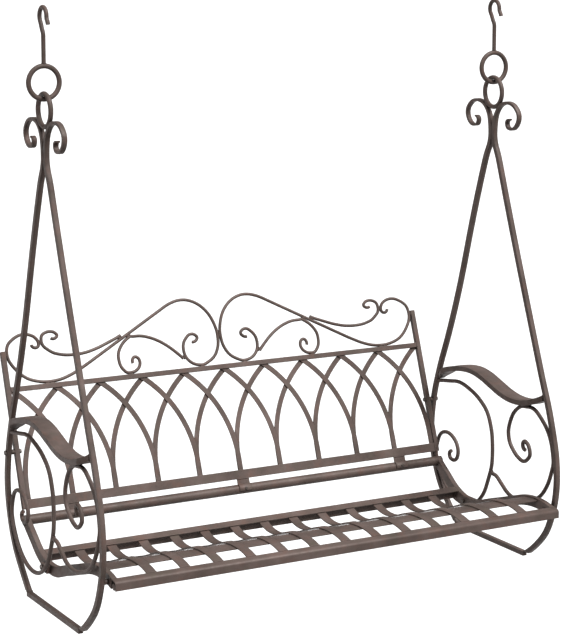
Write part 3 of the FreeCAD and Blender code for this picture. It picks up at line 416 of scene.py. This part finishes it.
def make_welds():
    bench, hangers = Welds(), Welds()
    side_normal = Vector((1.0, 0.0, 0.0))
    front_normal = Vector((0.0, 1.0, 0.0))
    lean = math.radians(BACK_LEAN_DEG)
    back_normal = Vector((0.0, math.cos(lean), -math.sin(lean)))
    for side in SIDES:
        own = {n: side + "_" + n for n in SIDE_PIECES}
        for a, b in (("rear_scroll", "rear_bar"), ("rear_scroll", "front_scroll"),
                     ("front_scroll", "front_bar"), ("front_scroll", "armrest"),
                     ("lower_ring", "front_bar"), ("lower_ring", "rear_bar")):
            touch_welds(bench, own[a], own[b], [side_normal], *ROD_BEAD)
        touch_welds(bench, own["front_bar"], own["rear_bar"], [side_normal], *CROTCH_BEAD)
        for bar in ("front_bar", "rear_bar"):
            edge_welds(bench, own[bar], own["keel_bar"], KEEL_BEAD)
            edge_welds(bench, own["armrest"], own[bar], ARM_BEAD, reach=ARM_REACH, longest=ARM_LONGEST)
        touch_welds(hangers, own["hook"], own["upper_ring"], [side_normal, front_normal], *HOOK_BEAD)
        for rail in ("back_foot_rail", "back_top_rail"):
            edge_welds(bench, rail, own["back_stile"], RAIL_BEAD)
        for rail in ("seat_rear_rail", "seat_crest_strip", "seat_front_rail"):
            edge_welds(bench, rail, own["seat_end_plate"], RAIL_BEAD, longest=SEAT_LONGEST)
        edge_welds(bench, own["seat_lug"], own["rear_scroll"], LUG_BEAD)
        crest = {n: side + "_crest_" + n + "_scroll" for n in ("long", "leaf", "small")}
        for a, b in ((crest["long"], "back_top_rail"), (crest["small"], "back_top_rail"),
                     (crest["leaf"], crest["long"]), (crest["small"], crest["long"]),
                     (crest["long"], own["back_stile"])):
            touch_welds(bench, a, b, [back_normal], *CREST_BEAD)
    touch_welds(bench, "left_crest_long_scroll", "right_crest_long_scroll", [back_normal],
                *CREST_MIDDLE_BEAD)
    for arches in ("back_front_arches", "back_rear_arches"):
        for rail in ("back_foot_rail", "back_top_rail"):
            edge_welds(bench, arches, rail, ARCH_BEAD)
    for slat in SLATS:
        for rail in ("seat_rear_rail", "seat_crest_strip", "seat_front_rail"):
            edge_welds(bench, slat, rail, SLAT_BEAD, longest=SEAT_LONGEST)
    edge_welds(bench, "back_brackets", "back_foot_rail", RAIL_BEAD, longest=BRACKET_LONGEST)
    bench.finish("bench_weld_beads", "bench")
    hangers.finish("hanger_weld_beads", "hangers")


def make_studio():
    """White floor, a broad key from the upper front, a weak side light and a sky darker below the horizon."""
    world = bpy.data.worlds.new("studio")
    world.use_nodes = True
    g = Graph(world.node_tree)
    back = world.node_tree.nodes["Background"]
    height = g.add("ShaderNodeSeparateXYZ")
    g.link(g.add("ShaderNodeTexCoord").outputs["Generated"], height.inputs[0])
    sky = g.ramp(g.span(height.outputs["Z"], -1.0, 1.0, 0.0, 1.0),
                 [(0.20, (0.03, 0.03, 0.03)), (0.52, (0.24, 0.24, 0.24)), (0.85, (0.92, 0.92, 0.92))])
    g.link(sky, back.inputs["Color"])
    back.inputs["Strength"].default_value = 0.60
    scene.world = world
    for name, power, spread, travel in LIGHTS:
        sun = bpy.data.lights.new(name, "SUN")
        sun.energy = power
        sun.angle = math.radians(spread)
        lamp = bpy.data.objects.new(name, sun)
        lamp.rotation_euler = Vector(travel).to_track_quat("-Z", "Y").to_euler()
        scene.collection.objects.link(lamp)
    mesh = bpy.data.meshes.new("floor")
    h = FLOOR_HALF
    corners = [(-h, -h, FLOOR_Z), (h, -h, FLOOR_Z), (h, h, FLOOR_Z), (-h, h, FLOOR_Z)]
    mesh.from_pydata(corners, [], [(0, 1, 2, 3)])
    floor = bpy.data.objects.new("floor", mesh)
    floor.visible_diffuse = False
    scene.collection.objects.link(floor)
    mat, g, shader, coords = new_material("pale_floor")
    pale = g.ramp(g.noise(coords, 1.5, 2.0, 0.5), [(0.3, (0.70, 0.70, 0.70)), (0.7, (0.72, 0.72, 0.72))])
    g.link(pale, shader.inputs["Base Color"])
    shader.inputs["Roughness"].default_value = 0.9
    mesh.materials.append(mat)
    scene.view_settings.view_transform = "Standard"
    scene.view_settings.look = "None"


make_camera()
make_studio()
dress_nodes()
make_welds()
